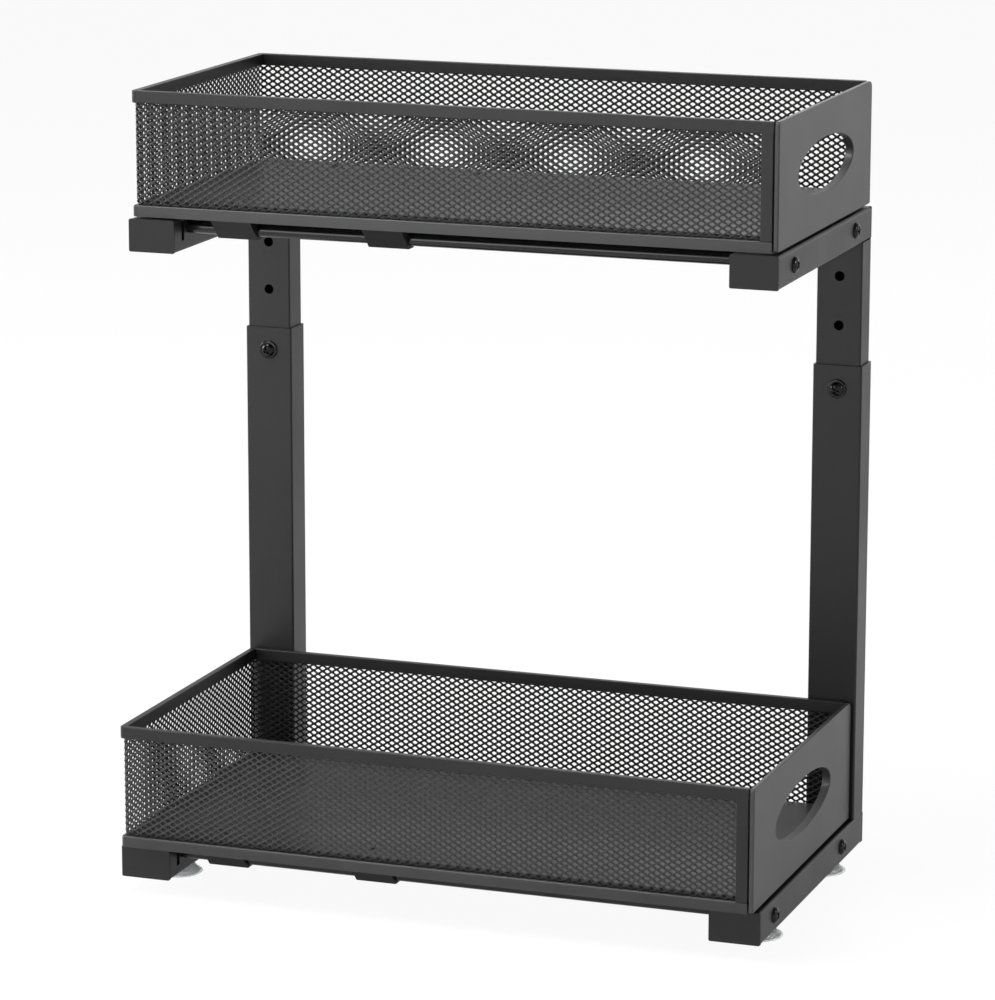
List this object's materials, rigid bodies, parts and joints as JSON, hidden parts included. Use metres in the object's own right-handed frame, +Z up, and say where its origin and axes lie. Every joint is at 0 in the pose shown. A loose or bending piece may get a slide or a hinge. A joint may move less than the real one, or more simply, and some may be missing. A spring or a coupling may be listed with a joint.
{
  "type": "under sink organizer",
  "caption": "Two-tier free-standing organizer with telescoping rear posts and mesh baskets that pull out sideways along round rods, on suction feet.",
  "frame": {"origin": "centre of the outline on the ground, at the bottom of the suction feet", "axes": "+X to the right, the way the baskets pull out; +Y to the back, where the posts stand; +Z up"},
  "size_m": [0.405, 0.2284, 0.4816],
  "materials": {
    "coated_steel": "satin",
    "coated_sheet": "satin",
    "coated_mesh": "satin",
    "black_plastic": "matte",
    "black_screw": "satin",
    "clear_cup": "gloss"
  },
  "bodies": {
    "lower_frame": {"lower_rail_left": "coated_steel", "lower_rail_right": "coated_steel", "lower_front_cap_left": "black_plastic", "lower_front_cap_right": "black_plastic", "lower_rear_cap_left": "black_plastic", "lower_rear_cap_right": "black_plastic", "outer_post_left": "coated_steel", "outer_post_right": "coated_steel", "lower_rod_front": "coated_steel", "lower_rod_rear": "coated_steel", "lower_rail_screws": "black_screw", "lock_screws": "black_screw", "foot_front_left": "clear_cup", "foot_front_right": "clear_cup", "foot_rear_left": "clear_cup", "foot_rear_right": "clear_cup"},
    "upper_frame": {"upper_rail_left": "coated_steel", "upper_rail_right": "coated_steel", "upper_front_cap_left": "black_plastic", "upper_front_cap_right": "black_plastic", "upper_rear_cap_left": "black_plastic", "upper_rear_cap_right": "black_plastic", "inner_post_left": "coated_steel", "inner_post_right": "coated_steel", "upper_rod_front": "coated_steel", "upper_rod_rear": "coated_steel", "upper_rail_screws": "black_screw"},
    "lower_basket": {"lower_basket_floor": "coated_sheet", "lower_mesh_front": "coated_mesh", "lower_mesh_rear": "coated_mesh", "lower_mesh_end": "coated_mesh", "lower_basket_rim": "coated_steel", "lower_handle_panel": "coated_sheet", "lower_glide_front_left": "black_plastic", "lower_glide_front_mid": "black_plastic", "lower_glide_rear_left": "black_plastic", "lower_glide_rear_mid": "black_plastic", "lower_glide_rivets": "coated_steel"},
    "upper_basket": {"upper_basket_floor": "coated_sheet", "upper_mesh_front": "coated_mesh", "upper_mesh_rear": "coated_mesh", "upper_mesh_end": "coated_mesh", "upper_basket_rim": "coated_steel", "upper_handle_panel": "coated_sheet", "upper_glide_front_left": "black_plastic", "upper_glide_front_mid": "black_plastic", "upper_glide_rear_left": "black_plastic", "upper_glide_rear_mid": "black_plastic", "upper_glide_rivets": "coated_steel"}
  },
  "joints": [
    {"name": "lower_basket_slide", "type": "slide", "parent": "lower_frame", "child": "lower_basket", "axis": [1, 0, 0], "range_m": [0, 0.196]},
    {"name": "upper_basket_slide", "type": "slide", "parent": "upper_frame", "child": "upper_basket", "axis": [1, 0, 0], "range_m": [0, 0.196]},
    {"name": "height_slide", "type": "slide", "parent": "lower_frame", "child": "upper_frame", "axis": [0, 0, 1], "range_m": [-0.0684, 0]}
  ]
}
